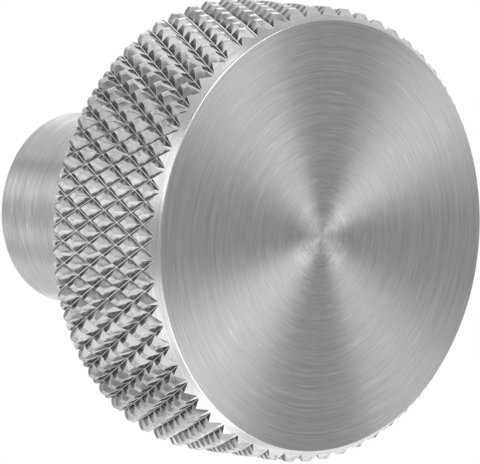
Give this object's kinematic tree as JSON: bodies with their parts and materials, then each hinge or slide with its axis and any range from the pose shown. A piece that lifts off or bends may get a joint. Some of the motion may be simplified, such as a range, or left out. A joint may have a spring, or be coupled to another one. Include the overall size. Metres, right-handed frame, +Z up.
{
  "type": "knurled furniture knob",
  "caption": "Turned steel knob for a drawer or door: a disc head with a diamond-knurled rim and a spun-brushed face, on a plain round stem tapped for a screw from behind.",
  "frame": {"origin": "centre of the stem's mounting face, where the knob meets the panel it is fixed to", "axes": "+Y along the knob's axis from the face of the head towards the panel, +Z up, +X across"},
  "size_m": [0.036, 0.03, 0.036],
  "materials": {
    "steel": "satin, spun-brushed on the face and brushed round the stem"
  },
  "bodies": {
    "root": {"knob": "steel"}
  },
  "joints": []
}
